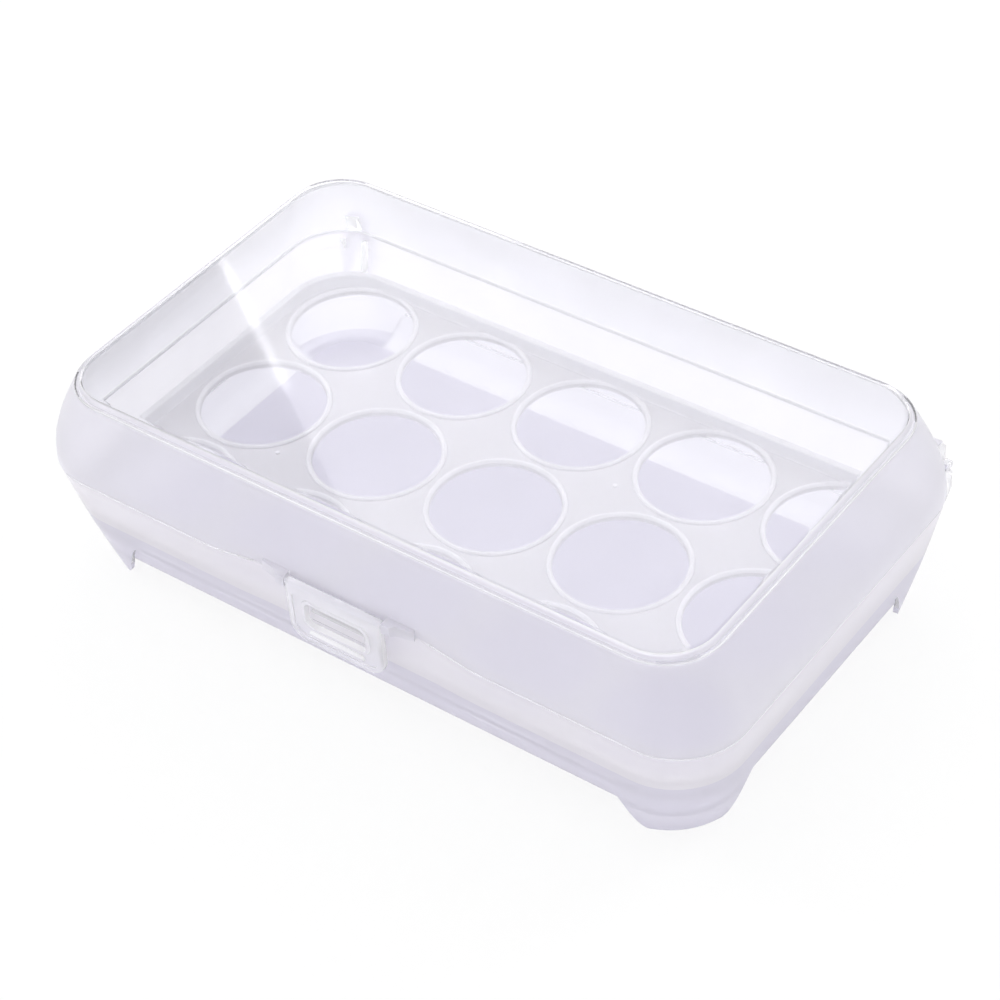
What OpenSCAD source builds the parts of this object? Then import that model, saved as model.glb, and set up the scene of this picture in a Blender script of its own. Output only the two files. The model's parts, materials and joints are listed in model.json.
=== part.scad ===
// Fifteen-egg storage tray: a footed tray, a lift-out egg rack, a hinged lid
// and a swing latch, all thin polypropylene mouldings.
// Millimetres, +Z up, origin under the centre of the feet.
// +Y is the hinge side, -Y is the side with the latch.

/* [Box] */
// Length over the lid's widest line
length = 240; // [228:1:300]
// Depth over the lid's widest line
depth = 143.5; // [138:0.5:200]
// Corner radius at the rim
corner_r = 21.3; // [16:0.1:28]
// Height of the tray's rim above the table
tray_h = 41.2; // [38:0.1:60]
// Height of the lid above the rim
lid_h = 28.8; // [24:0.1:50]
// Gap between the lid's edge and the rim it rests on
seat_gap = 0.2; // [0.1:0.05:0.3]
// How far the parting line rises at the middle of the front
front_rise = 3; // [0:0.1:3]
// Half width of the raised part of the parting line
rise_half_w = 30; // [26:1:40]

/* [Tray] */
// Wall of the tray above the rack's shelf
tray_wall = 1.6; // [1.2:0.1:2]
// Width of the shelf that the rack rests on
shelf_w = 1.2; // [1:0.1:1.6]
// Height of the shelf above the table
shelf_z = 27.3; // [26.5:0.1:32]
// How far the wall leans in from the rim to the foot of the tray
tray_draft = 8.2; // [4:0.1:10]
// How far the wall bulges out of a straight slope
tray_bulge = 0.45; // [0:0.05:1]
// Thickness of the tray's floor and of its lowest wall
floor_t = 1.4; // [1.2:0.1:2]
// Clearance under the tray's floor
floor_z = 6.1; // [5:0.1:10]
// Outer radius where the floor turns up into the wall
floor_r = 7; // [5:0.5:9]
// Thickness of the bead inside the rim
bead_w = 1.3; // [1:0.1:1.6]
// Height of the lip that centres the lid
lip_h = 1.5; // [1:0.1:2]

/* [Feet] */
// Wall of the foot skirts
skirt_t = 1.6; // [1.2:0.1:1.8]
// Height of the skirt's cut between the feet
arch_z = 17.8; // [15:0.1:18.5]
// Length of a foot along each side, at the height of the cut
foot_len = 28; // [24:0.5:36]
// Length of the curve from a foot up to the cut
foot_ease = 13; // [8:0.5:18]
// Extra corner radius at the bottom of a foot
foot_round = 1.7; // [0:0.1:3]

/* [Lid] */
// Wall of the lid
lid_wall = 1.6; // [1.2:0.1:2]
// How far the lid's ends lean in from the rim to the ledge
lid_lean_x = 8.85; // [6:0.05:12]
// How far the lid's long sides lean in from the rim to the ledge
lid_lean_y = 6.35; // [4:0.05:10]
// Width of the border between the ledge and the raised window
border_w = 2.2; // [2:0.1:3]
// Height of the raised window over the ledge
border_h = 2.1; // [1.8:0.1:3]
// Corner radius of the window
window_r = 15.9; // [12:0.1:20]

/* [Rack] */
// Distance between egg holes along the length
pitch_x = 45; // [44:0.5:50]
// Distance between egg holes along the depth
pitch_y = 44.5; // [43:0.5:50]
// Diameter of an egg hole
hole_d = 39.8; // [36:0.1:41]
// Thickness of the rack's panel
panel_t = 1.4; // [1.2:0.1:1.6]
// Width of the rounded lip round an egg hole
lip_w = 1.7; // [1.2:0.1:2]
// Height of the rounded lip round an egg hole
lip_rise = 0.9; // [0.5:0.1:1.2]
// Depth of the panel below the top of the rack's rim
rack_depth = 4.7; // [4:0.1:5.5]
// Thickness of the rack's upright rim
rack_rim_t = 1.3; // [1.1:0.1:1.8]
// Thickness of the flange that rests on the shelf
flange_t = 1.6; // [1.4:0.1:2]
// Clearance between the rack and the tray
rack_gap = 0.3; // [0.2:0.05:0.5]

/* [Hinge] */
// Distance of the hinge axis below the rim
hinge_drop = 2.5; // [2.4:0.1:3]
// Radius of the hinge barrels
barrel_r = 2; // [1.8:0.1:2.4]
// Radius of the hinge pins moulded on the lid
pin_r = 1.1; // [0.9:0.05:1.2]
// Radial clearance of the hinge and latch pins
pin_gap = 0.08; // [0.04:0.01:0.1]
// Gap between a hinge barrel and the tray's rounded corner
barrel_gap = 0.3; // [0.2:0.05:0.6]
// Length of a lid barrel
barrel_len = 4.6; // [4:0.1:6]
// Thickness of a hinge ear
ear_t = 2.2; // [1.8:0.1:3]
// Gap between a barrel and the ears beside it
side_gap = 0.3; // [0.2:0.05:0.5]
// Distance from the tray's end to the hinge's outer ear
hinge_inset = 8.6; // [7:0.1:12]
// Height of the straight back edge of an ear
ear_h = 10; // [6:0.5:12]

/* [Latch] */
// Width of the latch
latch_w = 34; // [30:1:44]
// Distance from the latch's axis down to its lower edge
latch_drop = 19.9; // [18:0.1:24]
// Thickness of the latch plate
latch_t = 2; // [1.6:0.1:2.4]
// Gap between the latch's barrel and the lid
latch_gap = 0.3; // [0.3:0.05:0.8]
// Height of the latch's axis above the rim
latch_axis_h = 4; // [3.9:0.1:5]
// Radius of the latch's barrel
latch_barrel_r = 1.4; // [1.3:0.05:1.45]
// Radius of the latch's pins
latch_pin_r = 0.85; // [0.7:0.05:0.9]
// Corner radius at the latch's lower edge
latch_corner_r = 6; // [4:0.5:8]
// Width of the slot in the latch
slot_w = 21.6; // [16:0.1:26]
// Height of the slot in the latch
slot_h = 8.6; // [6:0.1:10]
// Distance from the slot to the latch's lower edge
slot_up = 6.7; // [5:0.1:8]
// Corner radius of the slot
slot_r = 2.2; // [1:0.1:3]
// Height of the grip ridge on the latch
ridge_h = 0.5; // [0.3:0.1:0.8]
// Clearance between the catch and the latch or its slot
catch_gap = 0.3; // [0.25:0.05:0.5]
// Height of the catch on the tray
catch_h = 4.2; // [3:0.1:5]
// Length of the lugs that carry the latch
lug_len = 9.8; // [6:0.1:12]

/* [Hidden] */
$fn = 48;

half_x = length / 2;
half_y = depth / 2;
total_h = tray_h + lid_h;

// Steps of each corner of a moulded outline and of each slope of the front rise
corner_steps = 12;
rise_steps = 4;
rise_ease = 20;
// The rim lies just inside the lid's widest line
rim_inset = 0.2;
// Height of the zone, each way from the rim, that follows the front rise
rise_zone = 9;

// Tray
shelf_inset = tray_wall + shelf_w;
fillet_z = floor_z + floor_r;
rim_round = 0.5;
// Clearance between the lid's wall and the lip that centres it, and the lip's lean
lip_gap = 0.4;
lip_lean = 0.2;
// Height of the bead inside the rim and of the slope under it
bead_h = 3.2;
bead_slope = 1.5;
// How far one body of a moulding reaches into the next
sink = 0.2;

// Rack, which stands just clear of the shelf and fills the well below it
rack_rest = 0.1;
well_relief = 0.6;
rack_top = shelf_z + rack_rest + flange_t;
panel_z = rack_top - rack_depth;
flange_in = tray_in(shelf_z) + tray_wall + rack_gap;
well_in = tray_in(shelf_z) + shelf_inset;
well_z = panel_z - panel_t - well_relief;
rim_x = half_x - well_in - rack_gap;
rim_y = half_y - well_in - rack_gap;
rim_r = tray_r(well_z) - (well_in - tray_in(well_z)) - rack_gap;
hole_r = hole_d / 2;
cols = floor(2 * (rim_x - rack_rim_t - hole_r) / pitch_x) + 1;
rows = floor(2 * (rim_y - rack_rim_t - hole_r) / pitch_y) + 1;

// Lid
lid_z = tray_h + seat_gap;
ledge_z = total_h - border_h;
ledge_r = window_r + border_w;

// Hinge
ear_out = half_x - hinge_inset;
barrel_x = ear_out - ear_t - side_gap - barrel_len / 2;
rim_y_at_barrel = rim_edge_y(barrel_x - barrel_len / 2);
hinge_y = rim_y_at_barrel + barrel_gap + barrel_r;
hinge_z = tray_h - hinge_drop;
ear_r = barrel_r + 0.2;
// How far the arm of the lid hangs clear of the tray's wall
arm_gap = 0.15;

// Latch, whose axis lies a little behind the middle of its plate
axis_back = 0.4;
latch_y = -(half_y - rim_inset / 2 + latch_gap + latch_barrel_r);
latch_front = latch_y - latch_t / 2 - axis_back;
latch_z = tray_h + latch_axis_h;
latch_back = latch_front + latch_t;
latch_bottom = latch_z - latch_drop;
slot_z = latch_bottom + slot_up;
lug_x = latch_w / 2 + side_gap;
latch_pin_len = 2;
tray_gap = 0.35;

// Outline of a rounded rectangle, counter-clockwise, as [x, y] points, with
// extra points along the front side for the rise of the parting line
function corner(cx, cy, r, a0) =
    [for (k = [0:corner_steps]) let (a = a0 + 90 * k / corner_steps) [cx + r * cos(a), cy + r * sin(a)]];
function outline(hx, hy, r) = let (x = hx - r, y = hy - r) concat(
    corner(x, y, r, 0), corner(-x, y, r, 90), corner(-x, -y, r, 180),
    [for (k = [rise_steps:-1:0]) [-rise_half_w - rise_ease * k / rise_steps, -hy]],
    [for (k = [0:rise_steps]) [rise_half_w + rise_ease * k / rise_steps, -hy]],
    corner(x, -y, r, 270));

// Rise of a point near the rim towards the middle of the front
function rise(x, y, z) = let (
    across = max(0, min(1, (rise_half_w + rise_ease - abs(x)) / rise_ease)),
    front = y < -(half_y - corner_r) ? 1 : 0,
    up = max(0, 1 - max(0, abs(z - tray_h) - seat_gap) / rise_zone))
    front_rise * front * across * across * (3 - 2 * across) * up;
function ring(hx, hy, r, z) =
    [for (p = outline(hx, hy, r)) [p[0], p[1], z + rise(p[0], p[1], z)]];

// Depth of the rim's rounded corner at x, from the box's middle
function rim_edge_y(x) = let (
    r = corner_r,
    dx = max(0, x - (half_x - rim_inset - r)))
    half_y - rim_inset - r + sqrt(r * r - dx * dx);

// Outer surface of the tray at height z, moved in by d
function tray_in(z) = let (t = (tray_h - z) / tray_h) rim_inset + tray_draft * t - tray_bulge * sin(180 * t);
function tray_r(z) = corner_r + foot_round * (tray_h - z) / tray_h;
function tray_ring(z, d, at = -1) = let (w = (at < 0 ? z : at))
    ring(half_x - tray_in(w) - d, half_y - tray_in(w) - d, tray_r(w) - d, z);

// Outer surface of the lid at height z, moved in by d: a quarter of an ellipse
function lid_share(z) = sin(90 * (ledge_z - z) / (ledge_z - lid_z));
function lid_ring(z, d, at = -1) = let (s = 1 - lid_share(at < 0 ? z : at))
    ring(half_x - rim_inset / 2 - lid_lean_x * s - d, half_y - rim_inset / 2 - lid_lean_y * s - d,
         corner_r + (ledge_r - corner_r) * s - d, z);
function window_ring(z, out) =
    ring(half_x - lid_lean_x - border_w + out, half_y - lid_lean_y - border_w + out, window_r + out, z);

// Closed skin over a stack of rings. A loop joins the last ring to the first;
// otherwise each end is closed by a fan of triangles round a middle point.
module skin(rings, loop = false) {
    n = len(rings[0]);
    m = len(rings);
    pairs = loop ? m : m - 1;
    middles = [[0, 0, rings[0][0][2]], [0, 0, rings[m - 1][0][2]]];
    walls = [for (j = [0:pairs - 1]) for (i = [0:n - 1])
        let (a = j * n + i, b = j * n + (i + 1) % n, up = ((j + 1) % m - j) * n) [a, a + up, b + up, b]];
    caps = loop ? [] : concat(
        [for (i = [0:n - 1]) [m * n, i, (i + 1) % n]],
        [for (i = [0:n - 1]) [m * n + 1, (m - 1) * n + (i + 1) % n, (m - 1) * n + i]]);
    polyhedron(points = concat([for (g = rings) each g], middles), faces = concat(walls, caps), convexity = 8);
}

module at_x(x) {
    translate([x, 0, 0]) rotate([90, 0, 90]) children();
}

module bar_x(r, x0, x1, y, z) {
    translate([x0, y, z]) rotate([0, 90, 0]) cylinder(r = r, h = x1 - x0);
}

module rounded_plate(hx, hy, r, h) {
    linear_extrude(h) union() {
        square([2 * (hx - r), 2 * hy], center = true);
        square([2 * hx, 2 * (hy - r)], center = true);
        for (sx = [-1, 1], sy = [-1, 1]) translate([sx * (hx - r), sy * (hy - r)]) circle(r);
    }
}

// ---- Tray ----

module tray_tub() {
    turns = [90, 60, 30, 0];
    fillet_w = floor_r - floor_t;
    skin(concat(
        [for (a = turns) tray_ring(fillet_z - floor_r * sin(a), skirt_t + floor_r * (1 - cos(a)) - sink, fillet_z)],
        [tray_ring(arch_z, skirt_t - sink), tray_ring(arch_z, 0)],
        [for (k = [1:4]) tray_ring(arch_z + (tray_h - rim_round - arch_z) * k / 4, 0)],
        [tray_ring(tray_h, rim_round)],
        [tray_ring(tray_h, lid_wall + lip_gap), tray_ring(tray_h + lip_h, lid_wall + lip_gap + lip_lean)],
        [tray_ring(tray_h + lip_h, tray_wall + bead_w), tray_ring(tray_h - bead_h, tray_wall + bead_w)],
        [tray_ring(tray_h - bead_h - bead_slope, tray_wall), tray_ring(shelf_z, tray_wall)],
        [tray_ring(shelf_z, shelf_inset)],
        [tray_ring(well_z, well_in - tray_in(well_z)), tray_ring((arch_z + well_z) / 2, shelf_inset - sink)],
        [for (a = [0, 30, 60, 90]) tray_ring(fillet_z - fillet_w * sin(a),
            shelf_inset + fillet_w * (1 - cos(a)), fillet_z)]));
}

module foot_skirts() {
    hide = 0.05;
    top = arch_z + 3 * sink;
    levels = [0, 0.3, 0.7, 1];
    difference() {
        skin(concat(
            [for (t = levels) tray_ring(top * t, hide)],
            [for (t = [1, 0.7, 0.3, 0]) tray_ring(top * t, skirt_t)]), loop = true);
        arch(half_x - tray_in(0) - foot_len, depth);
        rotate([0, 0, 90]) arch(half_y - tray_in(0) - foot_len, length);
    }
}

// Space between two feet: a flat top with an eased curve down to each foot
module arch(half_top, through) {
    steps = 10;
    top = arch_z + 4 * sink;
    ease = [for (k = [0:steps]) [half_top + foot_ease * k / steps, top * (1 + cos(180 * k / steps)) / 2]];
    outline = concat(
        [[half_top + foot_ease + 1, -1], [half_top + foot_ease + 1, 0]],
        [for (k = [steps:-1:0]) ease[k]],
        [for (k = [0:steps]) [-ease[k][0], ease[k][1]]],
        [[-half_top - foot_ease - 1, 0], [-half_top - foot_ease - 1, -1]]);
    translate([0, through / 2 + 10, 0]) rotate([90, 0, 0]) linear_extrude(through + 20) polygon(outline);
}

module catch() {
    z0 = slot_z + catch_gap;
    front = latch_back + catch_gap;
    root = -(half_y - tray_in(z0) - tray_wall / 2);
    translate([-(slot_w / 2 - catch_gap), 0, 0]) at_x(0) linear_extrude(slot_w - 2 * catch_gap)
        polygon([[root, z0 - 1.6], [front + 0.4, z0], [front, z0 + 0.4], [front, z0 + catch_h - 1.2],
                 [front + 0.8, z0 + catch_h], [root, z0 + catch_h + 0.8]]);
}

// Ear with its pin hole; the straight back edge runs down and then slopes in to the wall
module hinge_ear(x0) {
    root = half_y - 8;
    difference() {
        union() {
            at_x(x0) linear_extrude(ear_t) polygon([
                [root, hinge_z - ear_h - 5], [hinge_y + ear_r - 3, hinge_z - ear_h - 2],
                [hinge_y + ear_r, hinge_z - ear_h + 1], [hinge_y + ear_r, hinge_z], [root, hinge_z]]);
            bar_x(ear_r, x0, x0 + ear_t, hinge_y, hinge_z);
        }
        bar_x(pin_r + pin_gap, x0 - 1, x0 + ear_t + 1, hinge_y, hinge_z);
    }
}

module hinge_ears() {
    inner = barrel_x - barrel_len / 2 - side_gap - ear_t;
    for (m = [0, 1]) mirror([m, 0, 0]) {
        hinge_ear(ear_out - ear_t);
        hinge_ear(inner);
    }
}

module tray() {
    color([0.90, 0.90, 0.94]) union() {
        tray_tub();
        foot_skirts();
        catch();
        difference() {
            hinge_ears();
            tray_hollow();
        }
    }
}

// Space inside the tray's wall, which trims what is rooted in the wall
module tray_hollow() {
    skin([tray_ring(fillet_z, tray_wall / 2), tray_ring(arch_z, tray_wall / 2),
          tray_ring(tray_h - rise_zone, tray_wall / 2), tray_ring(tray_h + rise_zone, tray_wall / 2, tray_h)]);
}

// ---- Egg rack ----

function hole_centres() =
    [for (i = [0:cols - 1]) for (j = [0:rows - 1])
        [(i - (cols - 1) / 2) * pitch_x, (j - (rows - 1) / 2) * pitch_y]];

module egg_rack() {
    under_z = panel_z - panel_t;
    flange_out = well_in - flange_in;
    color([0.87, 0.87, 0.90]) union() {
        difference() {
            union() {
                translate([0, 0, under_z]) rounded_plate(rim_x, rim_y, rim_r, rack_top - under_z);
                translate([0, 0, rack_top - flange_t])
                    rounded_plate(half_x - flange_in, half_y - flange_in, rim_r + flange_out, flange_t);
            }
            translate([0, 0, panel_z])
                rounded_plate(rim_x - rack_rim_t, rim_y - rack_rim_t, rim_r - rack_rim_t, rack_depth + 1);
            for (c = hole_centres()) translate([c[0], c[1], under_z - 1]) cylinder(r = hole_r, h = panel_t + 2);
        }
        intersection() {
            union() for (c = hole_centres()) translate([c[0], c[1], panel_z]) hole_lip();
            translate([0, 0, under_z]) rounded_plate(rim_x - rack_rim_t / 2, rim_y - rack_rim_t / 2,
                                                     rim_r - rack_rim_t / 2, rack_depth + panel_t);
        }
    }
}

// Rounded lip on the panel round one egg hole
module hole_lip() {
    rotate_extrude($fn = 64) translate([hole_r, 0]) intersection() {
        translate([lip_w / 2, 0]) circle(r = lip_w / 2, $fn = 32);
        translate([0, -0.3]) square([lip_w, lip_rise + 0.3]);
    }
}

// ---- Lid ----

module lid_shell() {
    steps = 9;
    wall_z = [for (k = [0:steps]) lid_z + (ledge_z - lid_z) * k / steps];
    ceiling_z = total_h - lid_wall;
    shoulder_z = ledge_z - lid_wall;
    ceiling_in = 0.6;
    shoulder_out = 0.5;
    skin(concat(
        [window_ring(ceiling_z, -ceiling_in)],
        [window_ring(shoulder_z, shoulder_out)],
        [for (k = [steps - 1:-1:0]) lid_ring(wall_z[k], lid_wall)],
        [for (k = [0:steps - 1]) lid_ring(wall_z[k], 0)],
        [window_ring(ledge_z, border_w), window_ring(ledge_z + 0.25, border_w - 0.35)],
        [window_ring(ledge_z + 0.35, 1), window_ring(total_h - 0.4, 0.15), window_ring(total_h, -0.3)]));
}

// Arm from the lid's edge down behind the tray, ending in a barrel with two pins
module hinge_arm() {
    x0 = barrel_x - barrel_len / 2;
    reach = side_gap + ear_t;
    back = hinge_y + barrel_r;
    inner = half_y + arm_gap;
    at_x(x0) linear_extrude(barrel_len) polygon([
        [back, hinge_z], [back, lid_z + 3], [back - 2.4, lid_z + 6.5], [half_y - 5.5, lid_z + 6.5],
        [half_y - 5.5, lid_z + 0.3], [inner, lid_z + 0.3], [inner, hinge_z + 1], [inner + 0.6, hinge_z]]);
    bar_x(barrel_r, x0, x0 + barrel_len, hinge_y, hinge_z);
    bar_x(pin_r, x0 - reach, x0 + barrel_len + reach, hinge_y, hinge_z);
}

// Lug beside the latch, tapered towards its far end. Below the lid's edge it
// hangs clear of the tray.
module latch_lug() {
    wall_y = -(half_y - lid_wall / 2);
    z0 = latch_z - latch_pin_r - 0.9;
    z1 = latch_z + latch_pin_r + 1.2;
    difference() {
        translate([0, 0, z0]) linear_extrude(z1 - z0) polygon([
            [lug_x, wall_y], [lug_x, latch_front], [lug_x + 3, latch_front], [lug_x + 4.2, latch_front + 1.2],
            [lug_x + lug_len, -half_y - 0.6], [lug_x + lug_len, wall_y]]);
        bar_x(latch_pin_r + pin_gap, lug_x - 1, lug_x + latch_pin_len + 0.2, latch_y, latch_z);
        skin([tray_ring(lid_z - 10, -tray_gap, lid_z), tray_ring(lid_z, -tray_gap)]);
    }
}

module lid() {
    color([0.93, 0.93, 0.96, 0.5]) union() {
        lid_shell();
        for (m = [0, 1]) mirror([m, 0, 0]) {
            difference() {
                hinge_arm();
                lid_hollow();
            }
            latch_lug();
        }
    }
}

// Space inside the lid's wall, which trims what is rooted in the wall
module lid_hollow() {
    skin([lid_ring(tray_h - rise_zone, lid_wall / 2, lid_z), lid_ring(lid_z + 4, lid_wall / 2),
          lid_ring(tray_h + rise_zone, lid_wall / 2)]);
}

// ---- Latch ----

module latch() {
    color([0.92, 0.92, 0.95, 0.8]) union() {
        difference() {
            translate([0, latch_back, 0]) rotate([90, 0, 0]) linear_extrude(latch_t) latch_outline();
            translate([0, latch_back + 1, 0]) rotate([90, 0, 0]) linear_extrude(latch_t + 2) slot_outline();
        }
        bar_x(latch_barrel_r, -latch_w / 2, latch_w / 2, latch_y, latch_z);
        bar_x(latch_pin_r, -latch_w / 2 - latch_pin_len - side_gap + 0.2,
              latch_w / 2 + latch_pin_len + side_gap - 0.2, latch_y, latch_z);
        grip_ridge();
    }
}

module latch_outline() {
    r = latch_corner_r;
    top = latch_z + 0.2;
    translate([-latch_w / 2, latch_bottom + r]) square([latch_w, top - latch_bottom - r]);
    translate([-latch_w / 2 + r, latch_bottom]) square([latch_w - 2 * r, r + 1]);
    for (s = [-1, 1]) translate([s * (latch_w / 2 - r), latch_bottom + r]) circle(r);
}

module slot_outline() {
    w = slot_w / 2 - slot_r;
    translate([-w, slot_z]) square([2 * w, slot_h]);
    translate([-slot_w / 2, slot_z + slot_r]) square([slot_w, slot_h - 2 * slot_r]);
    for (s = [-1, 1], z = [slot_z + slot_r, slot_z + slot_h - slot_r]) translate([s * w, z]) circle(slot_r);
}

module grip_ridge() {
    ridge_r = 1;
    z = latch_bottom + slot_up / 2 + 0.6;
    w = slot_w / 2 - 1;
    bar_x(ridge_r, -w, w, latch_front + ridge_r - ridge_h, z);
}

tray();
egg_rack();
lid();
latch();
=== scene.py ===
"""Fifteen-egg storage box: a footed tray, a lift-out egg rack, a hinged lid and a swing latch.

All four pieces are thin polypropylene mouldings. They are modelled in
millimetres, and finish_mesh turns each finished piece to metres.
"""

import json
import logging
import math
from collections.abc import Callable, Iterator, Mapping, Sequence
from contextlib import contextmanager
from dataclasses import dataclass, field
from enum import Enum

import bmesh
import bpy
from mathutils import Matrix, Vector


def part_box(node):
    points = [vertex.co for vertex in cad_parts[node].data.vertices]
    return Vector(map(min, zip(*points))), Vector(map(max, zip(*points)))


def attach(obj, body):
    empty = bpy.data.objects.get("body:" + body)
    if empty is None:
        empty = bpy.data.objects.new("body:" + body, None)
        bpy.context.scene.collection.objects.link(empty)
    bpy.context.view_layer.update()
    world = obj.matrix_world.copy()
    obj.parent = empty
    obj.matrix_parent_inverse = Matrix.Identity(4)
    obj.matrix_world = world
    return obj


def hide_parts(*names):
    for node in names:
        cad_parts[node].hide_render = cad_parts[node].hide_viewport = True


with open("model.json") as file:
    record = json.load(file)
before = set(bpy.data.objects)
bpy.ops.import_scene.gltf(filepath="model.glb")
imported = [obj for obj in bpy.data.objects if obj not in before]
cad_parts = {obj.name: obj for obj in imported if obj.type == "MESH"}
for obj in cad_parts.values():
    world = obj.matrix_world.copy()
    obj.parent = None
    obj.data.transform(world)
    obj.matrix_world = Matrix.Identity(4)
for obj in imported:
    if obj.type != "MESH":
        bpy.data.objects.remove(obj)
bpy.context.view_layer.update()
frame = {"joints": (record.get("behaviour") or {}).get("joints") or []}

log = logging.getLogger("egg_box")

MM = 0.001

Piece = bpy.types.Object
Element = bmesh.types.BMVert | bmesh.types.BMEdge | bmesh.types.BMFace
Outline = list[tuple[float, float]]


class Join(Enum):
    """How one solid is worked into another."""

    ADD = "UNION"
    CUT = "DIFFERENCE"


class Kind(Enum):
    """What is picked in edit mode. Each value is the mesh's own list of them."""

    VERT = "verts"
    EDGE = "edges"
    FACE = "faces"


class Across(Enum):
    """The axis that an outline is drawn across and then extruded along."""

    X = (Vector((0, 1, 0)), Vector((0, 0, 1)), Vector((1, 0, 0)))
    Y = (Vector((1, 0, 0)), Vector((0, 0, 1)), Vector((0, 1, 0)))
    Z = (Vector((1, 0, 0)), Vector((0, 1, 0)), Vector((0, 0, 1)))


# ---------------------------------------------------------------- modelling


def start_clean(piece: Piece) -> None:
    """Makes one object the only selected and active one.

    Args:
        piece: The object to select.
    """
    bpy.ops.object.select_all(action="DESELECT")
    piece.select_set(True)
    bpy.context.view_layer.objects.active = piece


@contextmanager
def editing(piece: Piece) -> Iterator[None]:
    """Opens a piece in edit mode with nothing selected, and closes it again.

    Args:
        piece: The mesh object to edit.

    Yields:
        Nothing; operators act on the piece meanwhile.
    """
    start_clean(piece)
    bpy.ops.object.mode_set(mode="EDIT")
    bpy.ops.mesh.select_mode(type="VERT")
    bpy.ops.mesh.select_all(action="DESELECT")
    try:
        yield
    finally:
        bpy.ops.object.mode_set(mode="OBJECT")


def empty_piece(name: str) -> Piece:
    """Adds a mesh object with nothing in it.

    Args:
        name: The object's name.

    Returns:
        The new object.
    """
    piece = bpy.data.objects.new(name, bpy.data.meshes.new(name))
    bpy.context.scene.collection.objects.link(piece)
    return piece


def pick(piece: Piece, kind: Kind, test: Callable[[Element], bool]) -> None:
    """Selects what passes a test, in edit mode, and nothing else.

    Args:
        piece: The piece in edit mode.
        kind: Whether vertices, edges or faces are tested.
        test: Says whether one of them is wanted.
    """
    bpy.ops.mesh.select_mode(type=kind.name)
    mesh = bmesh.from_edit_mesh(piece.data)
    every = getattr(mesh, kind.value)
    wanted = [one for one in every if test(one)]
    for one in every:
        one.select = False
    for one in wanted:
        one.select_set(True)
    if kind is Kind.VERT:
        mesh.select_flush_mode()
    bmesh.update_edit_mesh(piece.data)


def face_outwards() -> None:
    """Selects the whole mesh in edit mode and turns its faces outwards."""
    bpy.ops.mesh.select_all(action="SELECT")
    bpy.ops.mesh.normals_make_consistent(inside=False)


def apply_modifier(piece: Piece, kind: str, **settings: object) -> None:
    """Adds one modifier to a piece and applies it.

    Args:
        piece: The piece to change.
        kind: The modifier's type.
        **settings: Values for the modifier's own settings.
    """
    start_clean(piece)
    modifier = piece.modifiers.new(kind.title(), kind)
    for key, value in settings.items():
        setattr(modifier, key, value)
    bpy.ops.object.modifier_apply(modifier=modifier.name)


def work_in(piece: Piece, tool: Piece, how: Join) -> None:
    """Joins another solid on to a piece, or cuts it out of it, and removes it.

    Args:
        piece: The piece that stays.
        tool: The solid that is used up.
        how: Whether it is added or cut out.
    """
    apply_modifier(piece, "BOOLEAN", operation=how.value, solver="EXACT", object=tool)
    bpy.data.objects.remove(tool)


def finish_mesh(piece: Piece, angle: float = 32.0) -> None:
    """Turns a finished piece from millimetres to metres and shades it smooth.

    Args:
        piece: The piece to finish.
        angle: The angle in degrees past which an edge stays sharp.
    """
    with editing(piece):
        bpy.ops.mesh.select_all(action="SELECT")
        bpy.ops.mesh.remove_doubles(threshold=0.001)
        bpy.ops.mesh.select_all(action="SELECT")
        bpy.ops.transform.resize(value=(MM, MM, MM), center_override=(0, 0, 0))
    start_clean(piece)
    bpy.ops.object.shade_smooth_by_angle(angle=math.radians(angle))


def round_ends(piece: Piece, along: Vector, edge: float) -> None:
    """Raises the two end faces of an extrusion with a rounded edge.

    Args:
        piece: The piece in edit mode.
        along: The direction it was extruded in.
        edge: The rounding's radius.
    """
    early, late = 1 - math.cos(math.pi / 4), math.sin(math.pi / 4)
    for direction in (along, -along):
        pick(piece, Kind.FACE, lambda face: face.normal.dot(direction) > 0.999)
        bpy.ops.mesh.inset(thickness=early * edge, depth=late * edge)
        bpy.ops.mesh.inset(thickness=late * edge, depth=early * edge)


def extruded_outline(name: str, corners: Outline, across: Across, start: float,
                     end: float, edge: float = 0.0, corner: float = 0.0) -> Piece:
    """Draws an outline corner by corner, fills it and extrudes it.

    Args:
        name: The new object's name.
        corners: The outline's corners, in the plane across the axis.
        across: The axis that the outline is extruded along.
        start: Where the extrusion starts on that axis.
        end: Where it ends.
        edge: Radius of the rounding round both ends.
        corner: Radius of the rounding of the outline's own corners.

    Returns:
        The closed solid.
    """
    side, up, along = across.value
    places = [side * u + up * v + along * (start + edge) for u, v in corners]
    piece = empty_piece(name)
    with editing(piece):
        bpy.ops.mesh.primitive_plane_add(size=1)
        bpy.ops.mesh.merge(type="CENTER")
        bpy.ops.transform.translate(value=places[0])
        for here, there in zip(places, places[1:]):
            bpy.ops.mesh.extrude_vertices_move(TRANSFORM_OT_translate={"value": there - here})
        bpy.ops.mesh.select_all(action="SELECT")
        bpy.ops.mesh.edge_face_add()
        if corner:
            bpy.ops.mesh.bevel(offset=corner, offset_type="OFFSET", segments=4, profile=0.5,
                               affect="VERTICES", clamp_overlap=False)
            bpy.ops.mesh.select_all(action="SELECT")
        bpy.ops.mesh.extrude_region_move(TRANSFORM_OT_translate={"value": along * (end - start - 2 * edge)})
        face_outwards()
        if edge:
            round_ends(piece, along, edge)
    return piece


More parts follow.
